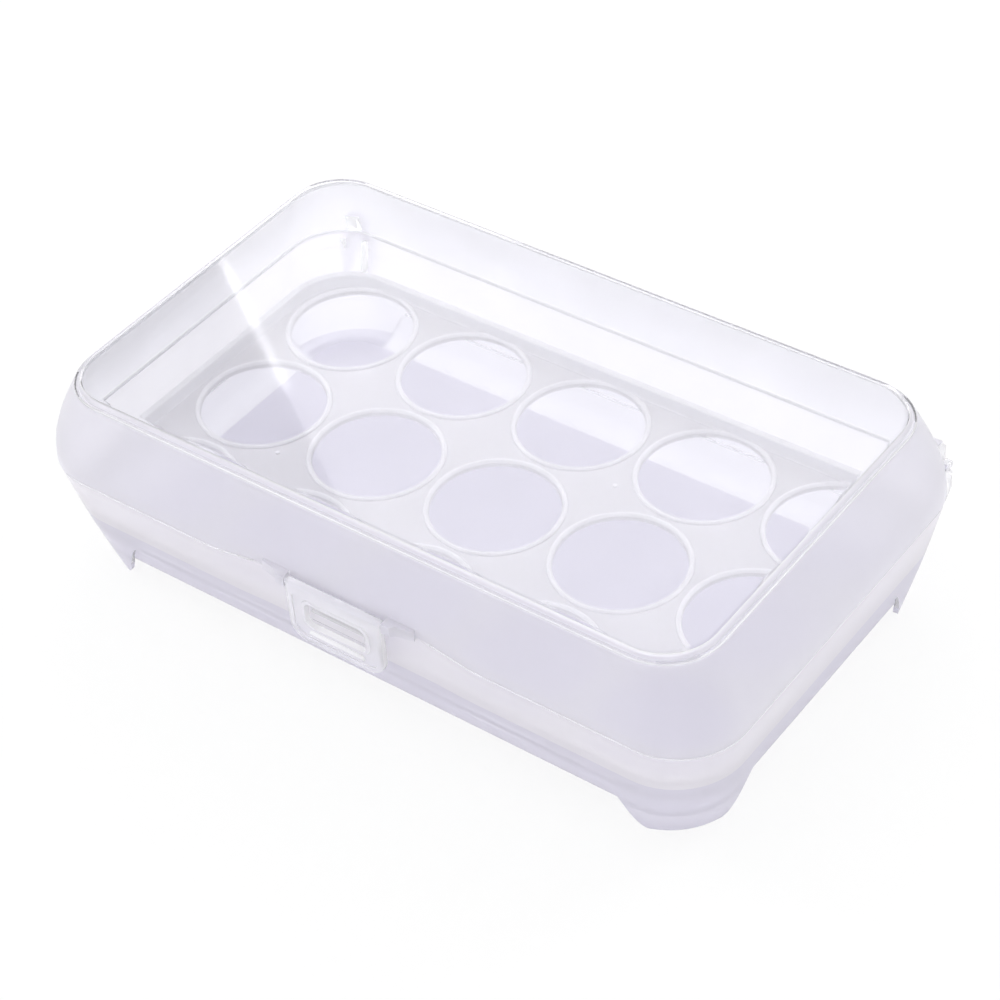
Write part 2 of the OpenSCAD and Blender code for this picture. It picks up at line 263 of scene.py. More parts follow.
def bar_along_x(name: str, radius: float, low: float, high: float, y: float, z: float,
                steps: int = 32, edge: float = 0.0) -> Piece:
    """Adds a round bar along the X axis.

    Args:
        name: The new object's name.
        radius: Its radius.
        low: Its lower X.
        high: Its upper X.
        y: The axis's Y.
        z: The axis's Z.
        steps: How many sides it has.
        edge: Radius of the rounding round both ends.

    Returns:
        The bar, with its place in its mesh.
    """
    piece = empty_piece(name)
    with editing(piece):
        bpy.ops.mesh.primitive_cylinder_add(
            vertices=steps, radius=radius, depth=high - low - 2 * edge,
            location=((low + high) / 2, y, z), rotation=(0, math.pi / 2, 0))
        if edge:
            round_ends(piece, Vector((1, 0, 0)), edge)
    return piece


def joined(name: str, parts: Sequence[Piece]) -> Piece:
    """Puts several objects into one mesh.

    Args:
        name: The joined object's name.
        parts: The objects to join.

    Returns:
        The joined object.
    """
    start_clean(parts[0])
    for part in parts[1:]:
        part.select_set(True)
    bpy.ops.object.join()
    parts[0].name = name
    return parts[0]


def mirrored_in_x(piece: Piece) -> Piece:
    """Adds a piece's mirror image in X to it.

    Args:
        piece: The piece on one side.

    Returns:
        The same object, now with both sides.
    """
    apply_modifier(piece, "MIRROR", use_axis=(True, False, False), use_mirror_merge=False)
    with editing(piece):
        face_outwards()
    return piece


def rounding(z: float, inward: float, radius: float, start: float, end: float,
             steps: int = 3) -> Outline:
    """Points along a rounded edge in a wall's section.

    Args:
        z: Height of the rounding's centre.
        inward: The centre's distance inside the outer face.
        radius: Its radius.
        start: The angle it starts at in degrees, where 0 faces outwards and 90 faces up.
        end: The angle it ends at.
        steps: How many steps it has.

    Returns:
        Pairs of height and distance inside the outer face.
    """
    turns = [math.radians(start + (end - start) * k / steps) for k in range(steps + 1)]
    return [(z + radius * math.sin(a), inward - radius * math.cos(a)) for a in turns]


@dataclass(frozen=True)
class Level:
    """A rounded-rectangle outline of a moulded wall at one height."""

    half_x: float  # Half its length
    half_y: float  # Half its depth
    radius: float  # Its corner radius
    z: float  # Its height


@dataclass(frozen=True)
class WallModeller:
    """Makes a closed wall by bridging outlines from level to level."""

    corner_steps: int = 14  # Steps round each corner
    front_steps: int = 44  # Steps along the front side, which the front rise bends
    spread: float = 10.0  # Distance between outlines while they are bridged

    def _marks(self, piece: Piece) -> bmesh.types.BMLayerItem:
        """Returns the layer that holds each vertex's outline number."""
        mesh = bmesh.from_edit_mesh(piece.data)
        return mesh.verts.layers.int.get("level") or mesh.verts.layers.int.new("level")

    def _outline(self, piece: Piece, level: Level, mark: int) -> None:
        """Adds one outline and marks its vertices.

        Args:
            piece: The piece in edit mode.
            level: The outline to add.
            mark: The number that its vertices get, from 1.
        """
        bpy.ops.mesh.select_all(action="DESELECT")
        bpy.ops.mesh.primitive_plane_add(size=2, location=(0, 0, mark * self.spread))
        bpy.ops.transform.resize(value=(level.half_x, level.half_y, 1), center_override=(0, 0, 0))
        bpy.ops.mesh.bevel(offset=level.radius, offset_type="OFFSET", segments=self.corner_steps,
                           profile=0.5, affect="VERTICES", clamp_overlap=False)
        bpy.ops.mesh.delete(type="ONLY_FACE")
        marks = self._marks(piece)
        straight = level.half_x - level.radius
        pick(piece, Kind.EDGE, lambda edge: edge.calc_length() > 1.9 * straight
             and all(v.co.y < 0 and v[marks] == 0 for v in edge.verts))
        bpy.ops.mesh.subdivide(number_cuts=self.front_steps - 1)
        mesh = bmesh.from_edit_mesh(piece.data)
        marks = self._marks(piece)
        for vertex in mesh.verts:
            vertex[marks] = vertex[marks] or mark
        bmesh.update_edit_mesh(piece.data)

    def _pick_outlines(self, piece: Piece, wanted: tuple[int, ...]) -> None:
        """Selects the edges of the outlines that have the wanted marks."""
        marks = self._marks(piece)
        pick(piece, Kind.EDGE, lambda edge: edge.verts[0][marks] == edge.verts[1][marks] in wanted)

    def wall(self, name: str, levels: Sequence[Level]) -> Piece:
        """Builds a wall and fills its first and last outlines.

        The outlines are stacked well apart while they are bridged, and each is
        then moved to its own height.

        Args:
            name: The new object's name.
            levels: The outlines, in order round the wall's section.

        Returns:
            The wall as one closed mesh.
        """
        piece = empty_piece(name)
        with editing(piece):
            for mark, level in enumerate(levels, 1):
                self._outline(piece, level, mark)
            for mark in range(1, len(levels)):
                self._pick_outlines(piece, (mark, mark + 1))
                bpy.ops.mesh.bridge_edge_loops()
            for mark, level in enumerate(levels, 1):
                self._pick_outlines(piece, (mark,))
                if mark in (1, len(levels)):
                    bpy.ops.mesh.edge_face_add()
                bpy.ops.transform.translate(value=(0, 0, level.z - mark * self.spread))
            face_outwards()
        piece.data.attributes.remove(piece.data.attributes["level"])
        return piece


# ---------------------------------------------------------------- finishes and painted light


def linear(code: str) -> tuple[float, float, float, float]:
    """Turns an sRGB hex colour into linear values.

    Args:
        code: Six hex digits after a hash.

    Returns:
        Linear red, green, blue and an alpha of one.
    """
    parts = [int(code[i:i + 2], 16) / 255 for i in (1, 3, 5)]
    red, green, blue = (p / 12.92 if p <= 0.04045 else ((p + 0.055) / 1.055) ** 2.4 for p in parts)
    return red, green, blue, 1.0


def empty_tree(owner: bpy.types.Material | bpy.types.World) -> bpy.types.NodeTree:
    """Gives a material or a world its node tree, with no nodes in it.

    Args:
        owner: The material or world.

    Returns:
        The empty tree.
    """
    owner.use_nodes = True
    owner.node_tree.nodes.clear()
    return owner.node_tree


def add_node(tree: bpy.types.NodeTree, kind: str, settings: Mapping[str, object] | None = None,
             values: Mapping[str | int, object] | None = None,
             links: Mapping[str | int, bpy.types.NodeSocket] | None = None) -> bpy.types.Node:
    """Adds a node with its settings, socket values and links.

    Args:
        tree: The node tree.
        kind: The node's type name.
        settings: Properties of the node itself.
        values: Default values of its inputs, by name.
        links: Output sockets to join to its inputs, by name.

    Returns:
        The new node.
    """
    node = tree.nodes.new(kind)
    for key, value in (settings or {}).items():
        setattr(node, key, value)
    for key, value in (values or {}).items():
        node.inputs[key].default_value = value
    for key, socket in (links or {}).items():
        tree.links.new(socket, node.inputs[key])
    return node


@dataclass(frozen=True)
class MouldedPolypropylene:
    """Injection-moulded polypropylene in one of its surface finishes.

    The plastic is milky. Part of the light that meets a wall is scattered back as an even white, and the rest
    passes and is blurred by the surface's grain. Some of the finishes are lighter or darker copies that paint
    highlight or shade.
    """

    name: str  # The material's name
    colour: str  # The scattered light's colour
    tint: str  # The colour where the wall is a little thicker
    clear: float  # Share of the light that passes where the wall is seen squarely
    clear_edge: float  # Share that passes where it is seen along its face
    roughness: float  # The surface's roughness
    open_share: float = 0.0  # Share of a surface that is simply not there, for a thin clear wall
    lit_through: float = 0.6  # Share of the lamps' light that crosses a surface to light what is behind it
    cloud_mm: float = 35.0  # Size of the flow marks that vary its milkiness
    cloud: float = 0.04  # How much they vary it
    grain_mm: float = 0.8  # Size of the surface's grain
    grain_height_mm: float = 0.004  # Height of that grain

    def build(self) -> bpy.types.Material:
        """Builds the node material.

        Returns:
            The material.
        """
        material = bpy.data.materials.new(self.name)
        tree = empty_tree(material)
        place = add_node(tree, "ShaderNodeTexCoord").outputs["Object"]
        flow = add_node(tree, "ShaderNodeTexNoise",
                        values={"Scale": 1 / (self.cloud_mm * MM), "Detail": 3.0, "Roughness": 0.5},
                        links={"Vector": place})
        grain = add_node(tree, "ShaderNodeTexNoise",
                         values={"Scale": 1 / (self.grain_mm * MM), "Detail": 2.0},
                         links={"Vector": place})
        bump = add_node(tree, "ShaderNodeBump",
                        values={"Strength": 0.6, "Distance": self.grain_height_mm * MM},
                        links={"Height": grain.outputs["Fac"]})
        colour = add_node(tree, "ShaderNodeMix", {"data_type": "RGBA"},
                          {6: linear(self.colour), 7: linear(self.tint)}, {"Factor": flow.outputs["Fac"]})
        skim = add_node(tree, "ShaderNodeLayerWeight", values={"Blend": 0.5})
        passed = add_node(tree, "ShaderNodeMapRange", values={
            "From Min": 0.0, "From Max": 1.0, "To Min": self.clear, "To Max": self.clear_edge},
            links={"Value": skim.outputs["Facing"]})
        drift = add_node(tree, "ShaderNodeMapRange", values={
            "From Min": 0.3, "From Max": 0.7, "To Min": self.cloud, "To Max": -self.cloud},
            links={"Value": flow.outputs["Fac"]})
        outside = add_node(tree, "ShaderNodeMath", {"operation": "ADD", "use_clamp": True}, links={
            0: passed.outputs["Result"], 1: drift.outputs["Result"]})
        side = add_node(tree, "ShaderNodeNewGeometry")
        clear = add_node(tree, "ShaderNodeMath", {"operation": "MAXIMUM"}, links={
            0: outside.outputs["Value"], 1: side.outputs["Backfacing"]})
        rough = add_node(tree, "ShaderNodeMapRange", values={
            "From Min": 0.3, "From Max": 0.7, "To Min": self.roughness * 0.85,
            "To Max": min(1.0, self.roughness * 1.15)}, links={"Value": flow.outputs["Fac"]})
        path = add_node(tree, "ShaderNodeLightPath")
        lighting = add_node(tree, "ShaderNodeMath", {"operation": "MAXIMUM"}, links={
            0: path.outputs["Is Shadow Ray"], 1: path.outputs["Is Diffuse Ray"]})
        solid = add_node(tree, "ShaderNodeMapRange", values={
            "To Min": 1 - self.open_share, "To Max": (1 - self.open_share) * (1 - self.lit_through)},
            links={"Value": lighting.outputs["Value"]})
        shader = add_node(tree, "ShaderNodeBsdfPrincipled", values={"IOR": 1.49, "Metallic": 0.0},
                          links={"Base Color": colour.outputs[2], "Roughness": rough.outputs["Result"],
                                 "Transmission Weight": clear.outputs["Value"],
                                 "Alpha": solid.outputs["Result"], "Normal": bump.outputs["Normal"]})
        add_node(tree, "ShaderNodeOutputMaterial", links={"Surface": shader.outputs["BSDF"]})
        return material


# Spark-eroded outside faces of the lid's walls: a fine matt grain that blurs the
# light. The grain is drawn at 0.8 mm so that it shows at all.
FROSTED_WALL = MouldedPolypropylene("polypropylene_spark_eroded", "#F2F0F8", "#E9E7F2", 0.6, 0.45, 0.35)
# Inside faces of every wall: the mould's core is only polished, so they pass more
# light and blur it less.
POLISHED_CORE = MouldedPolypropylene("polypropylene_polished_core", "#FDFDFF", "#FBFBFE", 0.92, 0.8, 0.16)
# Tray wall: the same finish over a thicker, milkier wall.
MILKY_WALL = MouldedPolypropylene("polypropylene_milky_moulded", "#F4F1F7", "#EFECF5", 0.5, 0.35, 0.36)
# Painted shade: the lower part of the tray and its feet wear a darker, cooler copy of the tray's wall,
# because nothing white stands behind them.
PAINTED_SHADE_SKIRT = MouldedPolypropylene("polypropylene_foot_skirt", "#E6E3F1", "#E0DDEC", 0.45, 0.3, 0.36)
# Upright step round the window: thin and half polished.
WINDOW_STEP = MouldedPolypropylene("polypropylene_window_step", "#F1EFF7", "#ECEAF4", 0.35, 0.3, 0.22)
# Polished window of the lid: clarified resin off a mirror-polished mould face.
POLISHED_WINDOW = MouldedPolypropylene("polypropylene_clarified_polished", "#FBFBFE", "#F9F9FD", 0.97, 0.9,
                                       0.03, cloud=0.01, grain_mm=14, grain_height_mm=0.0003)
# Painted highlight: a whiter, less clear copy of the resin on the rounded edges of every moulding stands in
# for the bright lines that light draws along them. On the tray's rim, catch and hinge ears and on the lid's
# hinge arms it also brightens their shade.
PAINTED_HIGHLIGHT = MouldedPolypropylene("polypropylene_lit_edge", "#FDFDFF", "#F8F7FD", 0.12, 0.1, 0.2, 0.3)
# Satin rack: plain natural resin with a soft sheen.
SATIN_RACK = MouldedPolypropylene("polypropylene_natural_satin", "#E9E7EC", "#E4E2E8", 0.0, 0.0, 0.35, 0.3)
# Painted light on the rack: a whiter copy of the same resin, a painted highlight on the rounded lips round
# the egg holes and a brightening of the shade on the rim and flange.
RACK_PAINTED_LIGHT = MouldedPolypropylene("polypropylene_natural_lip", "#F6F5F8", "#F1F0F5", 0.0, 0.0, 0.22, 0.15)
# Latch: clarified resin with satin faces; its lower edges wear the painted highlight.
SATIN_LATCH = MouldedPolypropylene("polypropylene_clarified_satin", "#F5F4FA", "#F1F0F8", 0.5, 0.35, 0.22)


def dress(piece: Piece, finishes: Sequence[MouldedPolypropylene],
          choose: Callable[[bpy.types.MeshPolygon], MouldedPolypropylene]) -> None:
    """Gives a piece its finishes and sets which one each face wears.

    Args:
        piece: The piece.
        finishes: All of its finishes.
        choose: Says which one a face wears.
    """
    for finish in finishes:
        piece.data.materials.append(finish.build())
    for face in piece.data.polygons:
        face.material_index = finishes.index(choose(face))


def faces_in(face: bpy.types.MeshPolygon) -> bool:
    """Whether a face of a wall looks towards the box's middle."""
    return face.center.x * face.normal.x + face.center.y * face.normal.y < 0


# ---------------------------------------------------------------- the box


@dataclass(frozen=True)
class BoxSizes:
    """Sizes that the tray, the rack and the lid share, in millimetres."""

    half_x: float  # Half the box's length over the lid's widest line
    half_y: float  # Half its depth there
    top: float  # Height of the window
    rim: float  # Height of the tray's rim
    seat: float = 0.2  # Gap between the lid's edge and the rim
    corner: float = 21.3  # Corner radius at the rim
    rise: float = 3.0  # How far the parting line rises at the middle of the front
    rise_half: float = 30.0  # Half width of the raised part
    rise_ease: float = 22.0  # Length over which the rise eases back
    rim_inset: float = 0.2  # How far the rim lies inside the lid's widest line
    rack_margin: float = 4.474  # Distance from the rack's edge to that line
    rack_below: float = 12.2  # How far the rack's top lies below the rim
    band: tuple[float, float] = (1.0, 2.0)  # How far the line that rises reaches below and above the rim

    @classmethod
    def from_frame(cls) -> "BoxSizes":
        """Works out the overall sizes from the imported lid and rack.

        Returns:
            The sizes.
        """
        lid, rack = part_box("lid")[1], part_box("egg_rack")[1]
        return cls(half_x=lid.x / MM + cls.rim_inset / 2, half_y=rack.y / MM + cls.rack_margin,
                   top=lid.z / MM, rim=rack.z / MM + cls.rack_below)


def axis_of(name: str) -> tuple[float, float]:
    """Finds where a hinge's axis runs.

    Args:
        name: The joint's name.

    Returns:
        The axis's Y and height.
    """
    place = next(joint for joint in frame["joints"] if joint["name"] == name)["pos_m"]
    return place[1] / MM, place[2] / MM


def lift_front(piece: Piece, sizes: BoxSizes) -> None:
    """Raises the parting line at the middle of the front of a wall.

    Args:
        piece: The wall.
        sizes: The box's shared sizes.
    """
    with editing(piece):
        below, above = sizes.band
        front = -(sizes.half_y - sizes.corner)
        pick(piece, Kind.VERT, lambda v: sizes.rim - below < v.co.z < sizes.rim + above
             and v.co.y < front and abs(v.co.x) < sizes.rise_half)
        bpy.ops.transform.translate(value=(0, 0, sizes.rise), use_proportional_edit=True,
                                    proportional_edit_falloff="SMOOTH",
                                    proportional_size=sizes.rise_ease)


@dataclass(frozen=True)
class HingeSizes:
    """Sizes of the two hinges at the back, in millimetres."""

    y: float  # The axis's place behind the middle
    z: float  # Its height
    barrel: float = 2.0  # Radius of the barrels
    pin: float = 1.1  # Radius of the pins
    play: float = 0.08  # Radial clearance of the pins
    ear: float = 2.2  # Thickness of an ear
    gap: float = 0.3  # Gap between barrel and ear
    length: float = 4.6  # Length of a barrel
    outer: float = 111.4  # Distance from the middle to the outer ear's far face
    ear_height: float = 10.0  # Height of an ear's straight back edge

    @property
    def barrel_low(self) -> float:
        """Lower X of the right-hand barrel."""
        return self.outer - self.ear - self.gap - self.length

    @property
    def ear_radius(self) -> float:
        """Radius of an ear round the axis."""
        return self.barrel + 0.2

    @classmethod
    def from_frame(cls) -> "HingeSizes":
        """Takes the axis from the lid's joint."""
        return cls(*axis_of("lid_hinge"))


@dataclass
class Tray:
    """The footed tray: tub, rim, shelf, corner feet, catch and hinge ears."""

    sizes: BoxSizes  # The box's shared sizes
    hinge: HingeSizes  # The hinge's sizes
    wall: float = 1.6  # Wall above the rack's shelf
    shelf_w: float = 1.2  # Width of the shelf
    shelf_z: float = 27.3  # Height of the shelf
    draft: float = 8.2  # How far the wall leans in from rim to foot
    bulge: float = 0.45  # How far it bulges out of a straight slope
    floor_t: float = 1.4  # Thickness of the floor
    floor_z: float = 6.1  # Clearance under the floor
    floor_r: float = 7.0  # Outer radius between floor and wall
    bead: float = 1.3  # Thickness of the bead inside the rim
    bead_h: float = 3.2  # Height of the bead, from the rim down to where it eases back
    bead_ease: float = 1.8  # Height over which it eases back to the wall
    lip: float = 1.5  # Height of the lip that centres the lid
    lip_at: float = 2.1  # How far the lip stands inside the outer face
    rim_r: float = 0.5  # Radius of the rim's outer edge
    edge: float = 0.3  # Radius of the small rounded edges
    nick: float = 0.2  # Size of the smallest chamfers and steps
    skirt: float = 1.6  # Wall of the foot skirts
    arch_z: float = 17.8  # Height of the cut between the feet
    foot_len: float = 28.0  # Length of a foot at that height
    foot_ease: float = 13.0  # Length of the curve down to a foot
    foot_round: float = 1.7  # Extra corner radius at the foot
    well_z: float = 22.3  # Height of the lower end of the rack's well
    catch_z: float = 32.5  # Height at which the catch's front face starts
    catch_h: float = 3.4  # Height of that face
    catch_half: float = 10.5  # Half the catch's width
    # How far its under and upper sides fall and rise towards the wall
    catch_slope: tuple[float, float] = (1.8, 1.4)
    root: float = 5.0  # How far the ears' roots reach inside the widest line
    # Painted shade: the wall wears the darker skirt copy up to this height over the cut.
    painted_shade_h: float = 7.6  # Height over the cut up to which nothing white stands behind the wall
    modeller: WallModeller = field(default_factory=WallModeller)

    def _inset(self, z: float) -> float:
        """Returns how far the outer face lies inside the widest line at a height."""
        share = (self.sizes.rim - z) / self.sizes.rim
        return self.sizes.rim_inset + self.draft * share - self.bulge * math.sin(math.pi * share)

    def _level(self, z: float, inward: float, like: float | None = None) -> Level:
        """An outline of the wall.

        Args:
            z: Its height.
            inward: How far it lies inside the outer face.
            like: The height whose outer face it follows, where not its own.

        Returns:
            The outline.
        """
        at = z if like is None else like
        inset = self._inset(at) + inward
        radius = self.sizes.corner + self.foot_round * (self.sizes.rim - at) / self.sizes.rim - inward
        return Level(self.sizes.half_x - inset, self.sizes.half_y - inset, radius, z)

    def _tub(self) -> Piece:
        """Builds the tub with its rim, lip, shelf and floor.

        Returns:
            The tub's closed wall.
        """
        rim, lip = self.sizes.rim, self.sizes.rim + self.lip
        shelf, bead = self.wall + self.shelf_w, self.wall + self.bead
        edge, nick, bead_low = self.edge, self.nick, self.sizes.rim - self.bead_h
        turn, shell = self.floor_z + self.floor_r, self.skirt - self.nick
        inner_r = self.floor_r - self.floor_t
        side_steps = 6
        outer = [self._level(z, d, turn) for z, d in
                 rounding(turn, shell + self.floor_r, self.floor_r, -90, 0, 7)]
        outer += [self._level(self.arch_z, shell), self._level(self.arch_z, 0)]
        outer += [self._level(self.arch_z + (rim - self.rim_r - self.arch_z) * k / side_steps, 0)
                  for k in range(1, side_steps)]
        # Height and distance inside the outer face: over the rim and the lip, then down
        # the bead and the wall to the shelf.
        section = (rounding(rim - self.rim_r, self.rim_r, self.rim_r, 0, 90)
                   + rounding(rim + edge / 2, self.lip_at - edge / 3, -edge / 2, 270, 180, 2)
                   + rounding(lip - edge, self.lip_at + edge, edge, 0, 90)
                   + rounding(lip - edge, bead - edge, edge, 90, 180)
                   + [(bead_low, bead), (bead_low - 0.5, bead - edge / 2),
                      (bead_low - self.bead_ease + 0.5, self.wall + nick),
                      (bead_low - self.bead_ease, self.wall),
                      (self.shelf_z + nick, self.wall), (self.shelf_z, self.wall + nick)]
                   + rounding(self.shelf_z - edge, shelf - edge, edge, 90, 180))
        well = self._inset(self.shelf_z) + shelf - self._inset(self.well_z)
        inner = [self._level(self.well_z, well), self._level((self.arch_z + self.well_z) / 2, shelf - nick)]
        inner += [self._level(z, d, turn) for z, d in
                  rounding(turn, shelf + inner_r, inner_r, 0, -90, 7)]
        return self.modeller.wall("tray_moulding", outer + [self._level(z, d) for z, d in section] + inner)

    def _arch(self, half_top: float, reach: float, across: Across) -> Piece:
        """Builds the space between two feet: flat on top, curving down to each foot.

        Args:
            half_top: Half its width at the top.
            reach: How far it runs each way.
            across: The axis that it runs along.

        Returns:
            The solid to cut out.
        """
        steps, past = 14, 1.0
        top = self.arch_z + 4 * self.nick
        half = half_top + self.foot_ease
        ease = [(half_top + self.foot_ease * k / steps, top * (1 + math.cos(math.pi * k / steps)) / 2)
                for k in range(steps + 1)]
        corners = [(half + past, -past), (half + past, 0.0)] + ease[::-1]
        corners += [(-x, z) for x, z in ease] + [(-half - past, 0.0), (-half - past, -past)]
        return extruded_outline("arch", corners, across, -reach, reach)

    def _feet(self) -> Piece:
        """Builds the four corner feet as a skirt with the spaces between them cut out.

        Returns:
            The feet.
        """
        top, past = self.arch_z + 3 * self.nick, 10.0
        heights = [0.0, 0.3 * top, 0.7 * top, top]
        sunk, toe = 0.05, 0.4
        foot = [self._level(z, d) for z, d in rounding(toe, toe + sunk, toe, -90, 0)]
        feet = self.modeller.wall("feet", foot + [self._level(z, sunk) for z in heights[1:]])
        heights[0], heights[-1] = -1.0, top + 1
        work_in(feet, self.modeller.wall("inside", [self._level(z, self.skirt) for z in heights]), Join.CUT)
        foot = self._inset(0) + self.foot_len
        half_x, half_y = self.sizes.half_x, self.sizes.half_y
        work_in(feet, self._arch(half_x - foot, half_y + past, Across.Y), Join.CUT)
        work_in(feet, self._arch(half_y - foot, half_x + past, Across.X), Join.CUT)
        return feet

    def _catch(self) -> Piece:
        """Builds the catch behind the latch's slot.

        Returns:
            The catch.
        """
        front = -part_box("tray")[0].y / MM
        low, high = self.catch_z, self.catch_z + self.catch_h
        below, above = self.catch_slope
        root = self.sizes.half_y - self._inset(low - self.nick) - self.wall / 2
        section = [(-root, low - below), (-front, low), (-front, high), (-root, high + above)]
        return extruded_outline("catch", section, Across.X, -self.catch_half, self.catch_half,
                                edge=self.edge, corner=self.edge)

    def _ear(self, low: float) -> Piece:
        """Builds one hinge ear with its pin hole.

        Args:
            low: Its lower X.

        Returns:
            The ear.
        """
        h = self.hinge
        root, back, high = self.sizes.half_y - self.root, h.y + h.ear_radius, low + h.ear
        foot = h.z - h.ear_height
        section = [(root, foot - 5), (back - 3, foot - 2), (back, foot + 1), (back, h.z), (root, h.z)]
        ear = extruded_outline("ear", section, Across.X, low, high, edge=self.edge)
        work_in(ear, bar_along_x("boss", h.ear_radius, low, high, h.y, h.z, 40, edge=self.edge), Join.ADD)
        work_in(ear, bar_along_x("hole", h.pin + h.play, low - 1, high + 1, h.y, h.z, 32), Join.CUT)
        return ear

    def _hollow(self) -> Piece:
        """The space inside the wall, which trims what is rooted in it."""
        heights = (15.0, 28.0, self.sizes.rim + 6)
        return self.modeller.wall("hollow", [self._level(z, self.wall / 2) for z in heights])

    def _finish(self, face: bpy.types.MeshPolygon) -> MouldedPolypropylene:
        """Says which finish a face wears.

        Args:
            face: The face, in metres.

        Returns:
            Its finish.
        """
        x, y, z = face.center / MM
        rise, rim, half_y = abs(face.normal.z), self.sizes.rim, self.sizes.half_y
        on_rim = rim - 1.5 * self.edge < z < rim + self.lip + 1 and rise > 0.3
        on_catch = (abs(x) < self.catch_half + 0.1 and y < 1.5 - half_y
                    and self.catch_z - 2.5 < z < rim - 2 and rise > 0.1)
        # Painted highlight on the rim, the catch and the hinge ears.
        if on_rim or on_catch or y > half_y:
            return PAINTED_HIGHLIGHT
        if faces_in(face) and z > self.floor_z:
            return POLISHED_CORE
        # Painted shade on the lower wall and the feet.
        return PAINTED_SHADE_SKIRT if z < self.arch_z + self.painted_shade_h else MILKY_WALL

    def build(self) -> Piece:
        """Builds and dresses the tray.

        Returns:
            The finished piece.
        """
        tray = self._tub()
        lift_front(tray, self.sizes)
        work_in(tray, self._catch(), Join.ADD)
        inner = self.hinge.barrel_low - self.hinge.gap - self.hinge.ear
        ears = joined("ears", [self._ear(self.hinge.outer - self.hinge.ear), self._ear(inner)])
        work_in(mirrored_in_x(ears), self._hollow(), Join.CUT)
        work_in(tray, ears, Join.ADD)
        work_in(tray, self._feet(), Join.ADD)
        finish_mesh(tray)
        dress(tray, (MILKY_WALL, PAINTED_HIGHLIGHT, POLISHED_CORE, PAINTED_SHADE_SKIRT), self._finish)
        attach(tray, "base")
        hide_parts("tray")
        return tray


